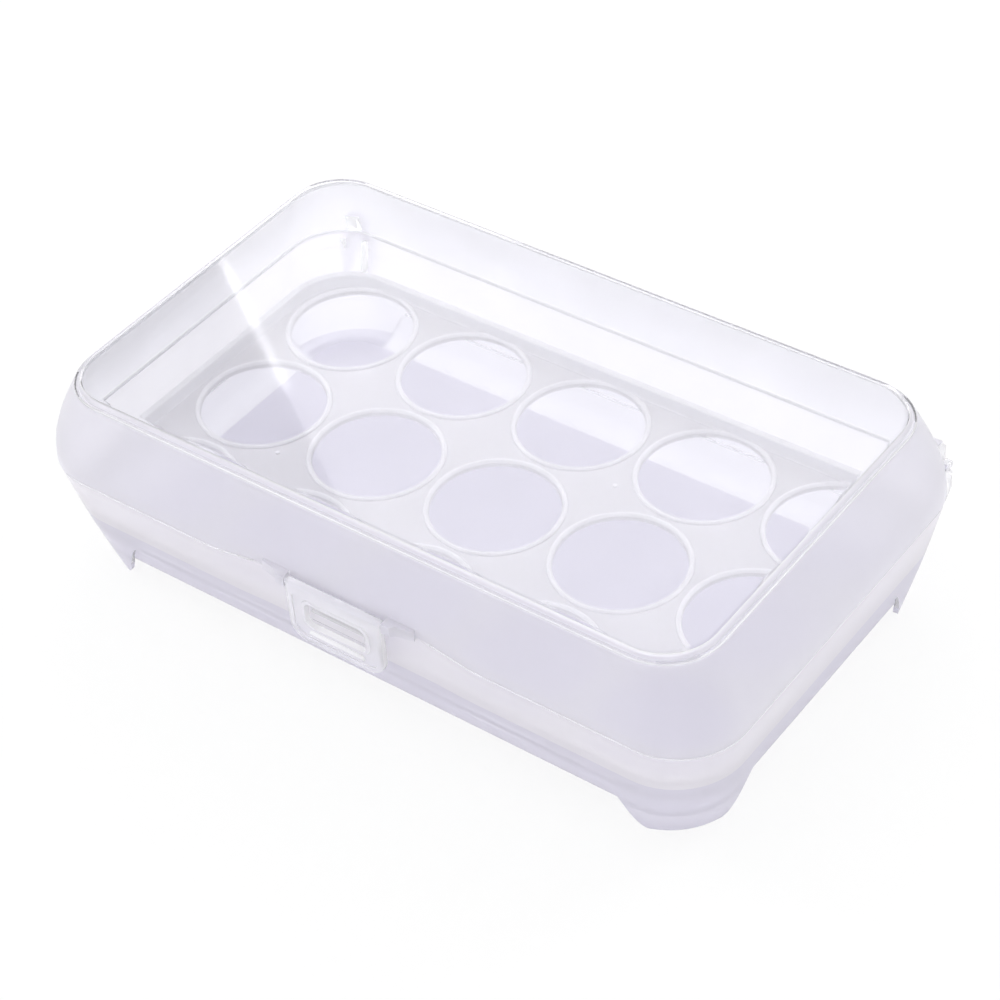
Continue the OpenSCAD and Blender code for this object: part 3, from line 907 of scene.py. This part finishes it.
@dataclass
class EggRack:
    """The lift-out rack: a panel with round egg holes inside an upright rim."""

    half_x: float  # Half its length over the flange
    half_y: float  # Half its depth over the flange
    low: float  # Height of the panel's underside
    high: float  # Height of the top of its rim
    pitch_x: float = 45.0  # Distance between holes along the length
    pitch_y: float = 44.5  # Distance between holes along the depth
    hole: float = 39.8  # Diameter of a hole
    panel: float = 1.4  # Thickness of the panel
    lip: float = 1.7  # Width of the rounded lip round a hole
    lip_rise: float = 0.9  # Height of that lip
    rim: float = 1.3  # Thickness of the upright rim
    flange: float = 1.6  # Thickness of the flange
    flange_w: float = 1.2  # How far the flange stands out of the rim
    corner: float = 19.9  # Corner radius of the rim
    bottom_r: float = 0.6  # Radius of the panel's lower edge
    edge: float = 0.4  # Radius of the flange's edges
    fillet: float = 0.5  # Radius between panel and rim
    ring: float = 0.3  # Width of the flat ring that keeps the flat faces' shading even
    mark_r: float = 0.7  # Radius of a gate mark
    marks: tuple[tuple[float, float], ...] = ((24.8, 26.8), (-71.2, -15.9))  # Where the gate marks stand
    columns: int = 5  # Number of holes along the length
    rows: int = 3  # Number of holes along the depth

    @classmethod
    def from_frame(cls) -> "EggRack":
        """Takes the rack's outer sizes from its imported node.

        Returns:
            The rack, not yet built.
        """
        low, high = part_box("egg_rack")
        return cls(high.x / MM, high.y / MM, low.z / MM, high.z / MM)

    @property
    def top(self) -> float:
        """Height of the panel's upper face."""
        return self.low + self.panel

    def _level(self, z: float, inward: float) -> Level:
        """An outline of the rack that lies a distance inside its flange."""
        radius = self.corner + self.flange_w - inward
        return Level(self.half_x - inward, self.half_y - inward, radius, z)

    def _centres(self) -> Outline:
        """Returns the centres of the egg holes."""
        return [((i - (self.columns - 1) / 2) * self.pitch_x, (j - (self.rows - 1) / 2) * self.pitch_y)
                for i in range(self.columns) for j in range(self.rows)]

    def _pan(self) -> Piece:
        """Builds the pan: panel, rim and flange in one wall.

        Returns:
            The pan.
        """
        rim, top, under = self.flange_w, self.top, self.high - self.flange
        inner, nick = rim + self.rim, 0.2
        # Height and distance inside the flange: up the outside, over the top and down to
        # the panel.
        section = [(self.low, rim + self.bottom_r + self.ring), (self.low, rim + self.bottom_r),
                   (self.low + nick, rim + nick), (self.low + self.bottom_r, rim), (under, rim),
                   (under, nick), (under + nick, 0), (self.high - self.edge, 0), (self.high, self.edge),
                   (self.high, inner - self.ring), (self.high - self.ring, inner),
                   (top + self.fillet, inner), (top + 0.12, inner + 0.15), (top, inner + self.fillet),
                   (top, inner + self.fillet + self.ring)]
        return WallModeller(front_steps=2).wall("egg_rack_moulding", [self._level(z, d) for z, d in section])

    def _discs(self, name: str, places: Sequence[tuple[float, float]], radius: float, depth: float,
               z: float, steps: int) -> Piece:
        """Adds equal upright discs, such as those that cut the egg holes.

        Args:
            name: The new object's name.
            places: Their middles.
            radius: Their radius.
            depth: Their depth.
            z: Height of their middles.
            steps: How many sides each has.

        Returns:
            All of them in one mesh.
        """
        discs = empty_piece(name)
        with editing(discs):
            for x, y in places:
                bpy.ops.mesh.primitive_cylinder_add(vertices=steps, radius=radius, depth=depth,
                                                    location=(x, y, z))
        return discs

    def _lips(self) -> Piece:
        """Builds the rounded lips: half-round beads spun round each hole.

        Returns:
            All the lips in one mesh.
        """
        lip = empty_piece("lips")
        outward = 0.06
        with editing(lip):
            bpy.ops.mesh.primitive_torus_add(
                major_segments=96, minor_segments=16, major_radius=(self.hole + self.lip) / 2 + outward,
                minor_radius=self.lip / 2, location=(0, 0, self.top))
            bpy.ops.transform.resize(value=(1, 1, self.lip_rise / (self.lip / 2)),
                                     center_override=(0, 0, self.top))
            bpy.ops.mesh.select_all(action="SELECT")
            bpy.ops.mesh.bisect(plane_co=(0, 0, self.top - self.ring), plane_no=(0, 0, 1), use_fill=False,
                                clear_inner=True)
            pick(lip, Kind.EDGE, lambda edge: edge.is_boundary)
            bpy.ops.mesh.bridge_edge_loops()
            face_outwards()
        copies = []
        for x, y in self._centres():
            copy = lip.copy()
            copy.data = lip.data.copy()
            copy.data.transform(Matrix.Translation((x, y, 0)))
            bpy.context.scene.collection.objects.link(copy)
            copies.append(copy)
        bpy.data.objects.remove(lip)
        return joined("lips", copies)

    def _finish(self, face: bpy.types.MeshPolygon) -> MouldedPolypropylene:
        """Says which finish a face wears.

        Args:
            face: The face, in metres.

        Returns:
            Its finish.
        """
        x, y, z = face.center / MM
        near = min(math.hypot(x - hole_x, y - hole_y) for hole_x, hole_y in self._centres())
        on_lip = near < self.hole / 2 + self.lip and z > self.top + 0.02
        # Painted highlight on the lips, and painted light on the rim and flange above the panel.
        return RACK_PAINTED_LIGHT if on_lip or z > self.top + 0.3 else SATIN_RACK

    def build(self) -> Piece:
        """Builds and dresses the rack.

        Returns:
            The finished piece.
        """
        rack = self._pan()
        holes = self._discs("holes", self._centres(), self.hole / 2, 4 * self.panel,
                            self.low + self.panel / 2, 96)
        work_in(rack, holes, Join.CUT)
        work_in(rack, self._lips(), Join.ADD)
        gate_marks = self._discs("gate_marks", self.marks, self.mark_r, 0.8, self.top, 16)
        work_in(rack, gate_marks, Join.ADD)
        finish_mesh(rack)
        dress(rack, (SATIN_RACK, RACK_PAINTED_LIGHT), self._finish)
        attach(rack, "rack")
        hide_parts("egg_rack")
        return rack


@dataclass
class Lid:
    """The hinged lid: raised window, ledge, curved walls, latch lugs and hinge arms."""

    sizes: BoxSizes  # The box's shared sizes
    hinge: HingeSizes  # The hinge's sizes
    latch_y: float  # The latch axis's place in front of the middle
    latch_z: float  # The latch axis's height
    wall: float = 1.6  # Thickness of the wall
    lean_x: float = 8.85  # How far the ends lean in from rim to ledge
    lean_y: float = 6.35  # How far the long sides lean in
    border: float = 2.2  # Width of the border between ledge and window
    border_h: float = 2.1  # Height of the window over the ledge
    window_r: float = 15.9  # Corner radius of the window
    edge: float = 0.3  # Radius round the lower edge's outside and the arms' ends
    soft: float = 0.35  # Radius round the lower edge's inside and the lugs' ends
    lug_x: float = 17.3  # X of a lug's face beside the latch
    lug_len: float = 9.8  # Length of a lug
    latch_pin: float = 0.85  # Radius of the latch's pins
    modeller: WallModeller = field(default_factory=WallModeller)

    @property
    def base(self) -> float:
        """Height of the lid's lower edge."""
        return self.sizes.rim + self.sizes.seat

    @property
    def ledge(self) -> float:
        """Height of the ledge round the window."""
        return self.sizes.top - self.border_h

    def _wall_level(self, z: float, inward: float, like: float | None = None) -> Level:
        """An outline of the curved wall, a quarter of an ellipse in section.

        Args:
            z: Its height.
            inward: How far it lies inside the outer face.
            like: The height whose outer face it follows, where not its own.

        Returns:
            The outline.
        """
        at = z if like is None else like
        lean = 1 - math.sin(math.pi / 2 * (self.ledge - at) / (self.ledge - self.base))
        edge = self.sizes.rim_inset / 2
        radius = self.sizes.corner + (self.window_r + self.border - self.sizes.corner) * lean - inward
        return Level(self.sizes.half_x - edge - self.lean_x * lean - inward,
                     self.sizes.half_y - edge - self.lean_y * lean - inward, radius, z)

    def _window_level(self, z: float, outward: float) -> Level:
        """An outline that lies a distance outside the window's edge."""
        return Level(self.sizes.half_x - self.lean_x - self.border + outward,
                     self.sizes.half_y - self.lean_y - self.border + outward, self.window_r + outward, z)

    def _shell(self) -> Piece:
        """Builds the lid's closed wall.

        Returns:
            The shell.
        """
        steps, top, base, ledge, under = 14, self.sizes.top, self.base, self.ledge, self.sizes.top - self.wall
        heights = [base + (ledge - base) * k / steps for k in range(steps + 1)]
        # Each pair is a height and a distance: outside the window's edge for the window's
        # two faces, and inside the outer face for the wall between them.
        window_in = [(under, -1.4), (under, -1.0), (under - 0.1, -0.4), (ledge - self.wall, 0.3)]
        wall = [(z, self.wall) for z in heights[-2:0:-1]]
        wall += [(base + self.soft, self.wall), (base, self.wall - self.soft), (base, self.edge),
                 (base + self.edge, 0)]
        wall += [(z, 0) for z in heights[1:-1]]
        window_out = [(ledge - self.soft, self.border + 0.12), (ledge - 0.08, self.border - 0.1),
                      (ledge + 0.02, self.border - 0.5), (ledge + 0.1, 1.2), (ledge + self.soft, 0.85),
                      (top - 0.5, 0.3), (top - 0.15, 0.1), (top, -0.45), (top, -0.8)]
        return self.modeller.wall("lid_moulding", [self._window_level(z, d) for z, d in window_in]
                                  + [self._wall_level(z, d) for z, d in wall]
                                  + [self._window_level(z, d) for z, d in window_out])

    def _hollow(self) -> Piece:
        """The space inside the wall, which trims what is rooted in it."""
        heights = ((self.base - 8, self.base), (self.base + 4, None), (self.base + 10, None))
        return self.modeller.wall("hollow", [self._wall_level(z, self.wall / 2, like) for z, like in heights])

    def _hinge_arms(self) -> Piece:
        """Builds the two arms with their barrels and pins.

        Returns:
            Both arms.
        """
        h = self.hinge
        back, inner, root = h.y + h.barrel, self.sizes.half_y + 0.15, self.sizes.half_y - 5.5
        low, high, reach = h.barrel_low, h.barrel_low + h.length, h.gap + h.ear
        foot, shoulder, elbow = self.base + self.edge, self.base + 3, self.base + 6.5
        section = [(back, h.z), (back, shoulder), (back - 2.4, elbow), (root, elbow),
                   (root, foot), (inner, foot), (inner, h.z + 1), (inner + 0.6, h.z)]
        arm = extruded_outline("arm", section, Across.X, low, high, edge=self.edge)
        work_in(arm, bar_along_x("barrel", h.barrel, low, high, h.y, h.z, 40, edge=self.edge), Join.ADD)
        work_in(arm, bar_along_x("pin", h.pin, low - reach, high + reach, h.y, h.z, 32, edge=0.2), Join.ADD)
        arms = mirrored_in_x(arm)
        work_in(arms, self._hollow(), Join.CUT)
        return arms

    def _lugs(self) -> Piece:
        """Builds the two lugs that carry the latch.

        Returns:
            Both lugs.
        """
        half_y, play, x = self.sizes.half_y, 0.08, self.lug_x
        root, front, end = -half_y + self.wall / 2, self.latch_y - 1.4, self.lug_x + self.lug_len
        low, high = self.latch_z - self.latch_pin - 0.9, self.latch_z + self.latch_pin + 1.2
        plan = [(x, root), (x, front), (x + 3, front), (x + 4.2, front + 1.2), (end, -half_y - 0.6),
                (end, root)]
        lug = extruded_outline("lug", plan, Across.Z, low, high, edge=self.soft)
        hole = bar_along_x("hole", self.latch_pin + play, x - 1, x + 2.2, self.latch_y, self.latch_z)
        work_in(lug, hole, Join.CUT)
        # The lug stops at the lid's edge, so what would reach into the tray's rim is cut away.
        edge, clear = self.base + self.sizes.rise, -(half_y - self.sizes.rim_inset + self.soft)
        section = [(clear, low - 1), (root + 1, low - 1), (root + 1, edge), (clear, edge)]
        work_in(lug, extruded_outline("below", section, Across.X, x - 1, end + 1), Join.CUT)
        return mirrored_in_x(lug)

    def _finish(self, face: bpy.types.MeshPolygon) -> MouldedPolypropylene:
        """Says which finish a face wears.

        Args:
            face: The face, in millimetres.

        Returns:
            Its finish.
        """
        x, y, z = face.center
        top, ledge, base, window = self.sizes.top, self.ledge, self.base, self._window_level(0, 0)
        flat = abs(x) < window.half_x and abs(y) < window.half_y and abs(face.normal.z) > 0.9
        if flat and z > ledge - self.wall:
            return POLISHED_WINDOW
        if faces_in(face) and abs(y) < self.sizes.half_y - self.wall:
            return POLISHED_CORE
        # Painted highlight along the window's edge, the ledge's edge and the lower edge.
        if top - 0.55 < z < top - 0.01 or ledge - 0.37 < z < ledge or base < z < base + self.edge:
            return PAINTED_HIGHLIGHT
        if ledge + 0.1 < z < top - 0.01:
            return WINDOW_STEP
        # The hinge arms behind the wall get the painted highlight, which brightens their shade.
        return PAINTED_HIGHLIGHT if y > self.sizes.half_y + 0.5 else FROSTED_WALL

    def build(self) -> Piece:
        """Builds and dresses the lid.

        Returns:
            The finished piece.
        """
        lid = self._shell()
        lift_front(lid, self.sizes)
        work_in(lid, self._hinge_arms(), Join.ADD)
        work_in(lid, self._lugs(), Join.ADD)
        dress(lid, (FROSTED_WALL, POLISHED_WINDOW, PAINTED_HIGHLIGHT, POLISHED_CORE, WINDOW_STEP), self._finish)
        finish_mesh(lid)
        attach(lid, "cover")
        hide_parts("lid")
        return lid


@dataclass
class Latch:
    """The swing latch: a plate with a finger slot, a barrel and two pins."""

    y: float  # Its axis's place in front of the middle
    z: float  # Its axis's height
    width: float = 34.0  # Its width
    drop: float = 19.9  # Distance from its axis to its lower edge
    thick: float = 2.0  # Thickness of its plate
    barrel: float = 1.4  # Radius of its barrel
    pin: float = 0.85  # Radius of its pins
    corner: float = 6.0  # Corner radius of its lower edge
    slot_w: float = 21.6  # Width of the slot
    slot_h: float = 8.6  # Height of the slot
    slot_up: float = 6.7  # Distance from the slot to the lower edge
    slot_r: float = 2.2  # Corner radius of the slot
    border: float = 2.0  # Width of the raised border
    recess: float = 0.5  # Depth of the face inside it
    bead: float = 1.3  # Width of the bead round the slot
    ridge_r: float = 1.0  # Radius of the ridge under the slot
    reach: float = 2.1  # How far a pin stands out of the barrel

    def _arc(self, x: float, z: float, radius: float, start: float) -> Outline:
        """Draws a quarter turn.

        Args:
            x: Its centre's X.
            z: Its centre's height.
            radius: Its radius.
            start: The angle it starts at in degrees.

        Returns:
            The corners along it.
        """
        steps = 8
        turns = [math.radians(start + 90 * k / steps) for k in range(steps + 1)]
        return [(x + radius * math.cos(a), z + radius * math.sin(a)) for a in turns]

    def _plate_outline(self, inward: float, top: float) -> Outline:
        """Draws the plate, square at the top and rounded at the lower corners.

        Args:
            inward: How far the outline lies inside the plate's edge.
            top: Height of its upper side.

        Returns:
            The outline's corners.
        """
        half, low, r = self.width / 2 - inward, self.z - self.drop + inward, self.corner - inward
        return ([(half, top), (-half, top)] + self._arc(-half + r, low + r, r, 180)
                + self._arc(half - r, low + r, r, 270))

    def _slot_outline(self, outward: float) -> Outline:
        """Draws the finger slot, rounded at all four corners.

        Args:
            outward: How far the outline lies outside the slot's edge.

        Returns:
            The outline's corners.
        """
        r = self.slot_r + outward
        x = self.slot_w / 2 + outward - r
        low = self.z - self.drop + self.slot_up - outward + r
        high = low + self.slot_h + 2 * (outward - r)
        middles = ((x, high), (-x, high), (-x, low), (x, low))
        return [corner for k, (x, z) in enumerate(middles) for corner in self._arc(x, z, r, 90 * k)]

    def build(self) -> Piece:
        """Builds and dresses the latch.

        Returns:
            The finished piece.
        """
        front = self.y - self.thick / 2 - 0.4
        back, half, slot_half = front + self.thick, self.width / 2, self.slot_w / 2
        latch = extruded_outline("latch_moulding", self._plate_outline(0, self.z + 0.2), Across.Y,
                                 front, back, edge=0.45)
        inside = self._plate_outline(self.border, self.z - 3.2)
        work_in(latch, extruded_outline("recess", inside, Across.Y, front - 1, front + self.recess), Join.CUT)
        bead = extruded_outline("bead", self._slot_outline(self.bead), Across.Y, front, back - 0.2, edge=0.4)
        work_in(latch, bead, Join.ADD)
        slot = extruded_outline("slot", self._slot_outline(0), Across.Y, front - 1, back + 1)
        work_in(latch, slot, Join.CUT)
        ridge_z = self.z - self.drop + self.slot_up / 2 + 0.6
        for bar in (bar_along_x("barrel", self.barrel, -half, half, self.y, self.z, edge=0.25),
                    bar_along_x("ridge", self.ridge_r, 1 - slot_half, slot_half - 1, front + 0.5, ridge_z,
                                20, edge=0.4),
                    bar_along_x("pins", self.pin, -half - self.reach, half + self.reach, self.y, self.z,
                                24, edge=0.15)):
            work_in(latch, bar, Join.ADD)
        finish_mesh(latch)
        under = (self.z - self.barrel) * MM
        # Painted highlight on the edges below the barrel.
        dress(latch, (SATIN_LATCH, PAINTED_HIGHLIGHT), lambda face: PAINTED_HIGHLIGHT
              if abs(face.normal.y) < 0.9 and face.center.z < under else SATIN_LATCH)
        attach(latch, "clip")
        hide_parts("latch")
        return latch


# ---------------------------------------------------------------- the studio


@dataclass(frozen=True)
class Softbox:
    """A soft rectangular lamp."""

    name: str  # Its name
    place: tuple[float, float, float]  # Where its middle stands, in metres
    aim: tuple[float, float, float]  # What it points at, in metres
    size: tuple[float, float]  # Its width and height in metres
    brightness: float  # How bright its face looks, where 1 is white
    turn: float = 0.0  # How far it is turned in its own plane, in degrees

    def build(self) -> None:
        """Adds the lamp to the scene."""
        data = bpy.data.lights.new(self.name, "AREA")
        data.shape = "RECTANGLE"
        data.size, data.size_y = self.size
        data.energy = self.brightness * math.pi * self.size[0] * self.size[1]
        lamp = bpy.data.objects.new(self.name, data)
        bpy.context.scene.collection.objects.link(lamp)
        aimed = (Vector(self.aim) - Vector(self.place)).to_track_quat("-Z", "Y").to_matrix()
        turned = aimed @ Matrix.Rotation(math.radians(self.turn), 3, "Z")
        lamp.matrix_world = Matrix.Translation(self.place) @ turned.to_4x4()


BOX_MIDDLE = (0.0, 0.0, 0.04)
# Two lamps hang behind the box on its left, where the window mirrors them: a wide one
# that shows softly, and a narrow strip that draws one straight streak.
LAMPS = (
    Softbox("ceiling_softbox", (-0.473, 0.770, 0.8), (-0.473, 0.770, 0.0), (0.8, 0.5), 1.25, -33.4),
    Softbox("ceiling_strip", (-0.749, 0.652, 0.79), (-0.749, 0.652, 0.0), (0.17, 0.007), 1.9, -33.4),
    Softbox("back_softbox", (0.5, 1.1, 0.75), BOX_MIDDLE, (0.5, 0.3), 7.0),
    Softbox("left_softbox", (-1.2, -0.2, 0.7), BOX_MIDDLE, (0.3, 0.5), 6.0),
    Softbox("front_softbox", (0.9, -1.0, 0.9), BOX_MIDDLE, (0.4, 0.4), 4.0),
)


@dataclass(frozen=True)
class Studio:
    """White sweep, soft lamps and camera."""

    azimuth: float = 39.2543  # The camera's angle from the front, in degrees
    elevation: float = 41.6292  # Its height angle in degrees
    roll: float = -4.6  # Its roll in degrees
    distance: float = 0.80933  # Its distance from the aim in metres
    lens: float = 97.892  # Its focal length in millimetres
    aim_z: float = 0.0243  # Height of the aim in metres
    # How far the camera stands right and up of the line through the aim, in metres
    offset: tuple[float, float] = (0.0013586, 0.0026542)
    # Share of the floor's brightness that is its own, which leaves the rest for the shadow
    floor_glow: float = 0.8
    light: float = 1.05  # How bright the surroundings on the left are where they light the box
    light_right: float = 0.7  # How bright those on the right are

    def camera(self) -> None:
        """Adds the camera."""
        az, el, roll = (math.radians(a) for a in (self.azimuth, self.elevation, self.roll))
        back = Vector((math.sin(az) * math.cos(el), -math.cos(az) * math.cos(el), math.sin(el)))
        level = Vector((math.cos(az), math.sin(az), 0))
        upright = back.cross(level)
        right = level * math.cos(roll) + upright * math.sin(roll)
        up = upright * math.cos(roll) - level * math.sin(roll)
        data = bpy.data.cameras.new("camera")
        data.lens = self.lens
        data.clip_start = 0.01
        camera = bpy.data.objects.new("camera", data)
        bpy.context.scene.collection.objects.link(camera)
        shift = right * self.offset[0] + up * self.offset[1] + Vector((0, 0, self.aim_z))
        place = back * self.distance + shift
        camera.matrix_world = Matrix.Translation(place) @ Matrix((right, up, back)).transposed().to_4x4()
        bpy.context.scene.camera = camera

    def floor(self) -> None:
        """Adds the white floor, which keeps a soft shadow."""
        bpy.ops.object.select_all(action="DESELECT")
        bpy.ops.mesh.primitive_circle_add(vertices=96, radius=3.0, fill_type="NGON")
        floor = bpy.context.object
        floor.name = "floor"
        material = bpy.data.materials.new("paper_sweep_white")
        tree = empty_tree(material)
        path = add_node(tree, "ShaderNodeLightPath")
        paper = add_node(tree, "ShaderNodeBsdfDiffuse", values={"Color": linear("#FFFFFF")})
        glow = add_node(tree, "ShaderNodeEmission", values={"Color": linear("#FFFFFF"), "Strength": 1.0})
        first = add_node(tree, "ShaderNodeMath", {"operation": "MAXIMUM"}, links={
            0: path.outputs["Is Camera Ray"], 1: path.outputs["Is Transmission Ray"]})
        seen = add_node(tree, "ShaderNodeMath", {"operation": "MULTIPLY"}, {1: self.floor_glow},
                        {0: first.outputs[0]})
        mix = add_node(tree, "ShaderNodeMixShader", links={
            0: seen.outputs[0], 1: paper.outputs[0], 2: glow.outputs[0]})
        add_node(tree, "ShaderNodeOutputMaterial", links={"Surface": mix.outputs[0]})
        floor.data.materials.append(material)

    def sky(self) -> None:
        """Makes the surroundings white where they are seen, and dimmer where they light the box."""
        world = bpy.data.worlds.new("studio_white")
        bpy.context.scene.world = world
        tree = empty_tree(world)
        path = add_node(tree, "ShaderNodeLightPath")
        across = add_node(tree, "ShaderNodeSeparateXYZ", links={
            "Vector": add_node(tree, "ShaderNodeTexCoord").outputs["Generated"]})
        falling = add_node(tree, "ShaderNodeMapRange", values={
            "From Min": -1.0, "From Max": 1.0, "To Min": self.light, "To Max": self.light_right},
            links={"Value": across.outputs["X"]})
        dim = add_node(tree, "ShaderNodeBackground", values={"Color": linear("#FFFFFF")},
                       links={"Strength": falling.outputs["Result"]})
        white = add_node(tree, "ShaderNodeBackground", values={"Color": linear("#FFFFFF"), "Strength": 1.0})
        first = add_node(tree, "ShaderNodeMath", {"operation": "MAXIMUM"}, links={
            0: path.outputs["Is Camera Ray"], 1: path.outputs["Is Glossy Ray"]})
        seen = add_node(tree, "ShaderNodeMath", {"operation": "MAXIMUM"}, links={
            0: first.outputs[0], 1: path.outputs["Is Transmission Ray"]})
        mix = add_node(tree, "ShaderNodeMixShader", links={
            0: seen.outputs[0], 1: dim.outputs[0], 2: white.outputs[0]})
        add_node(tree, "ShaderNodeOutputWorld", links={"Surface": mix.outputs[0]})

    def build(self) -> None:
        """Builds the whole studio."""
        self.camera()
        self.floor()
        self.sky()
        for lamp in LAMPS:
            lamp.build()
        bpy.context.scene.view_settings.view_transform = "Standard"


def main() -> None:
    """Builds the box and the studio, and logs each piece."""
    logging.basicConfig(level=logging.INFO, format="%(name)s: %(message)s")
    sizes = BoxSizes.from_frame()
    hinge = HingeSizes.from_frame()
    latch_axis = axis_of("latch_hinge")
    log.info("sizes %s", sizes)
    for maker in (Tray(sizes, hinge), EggRack.from_frame(), Lid(sizes, hinge, *latch_axis),
                  Latch(*latch_axis)):
        piece = maker.build()
        log.info("%s: %d faces", piece.name, len(piece.data.polygons))
    Studio().build()


if __name__ == "__main__":
    main()
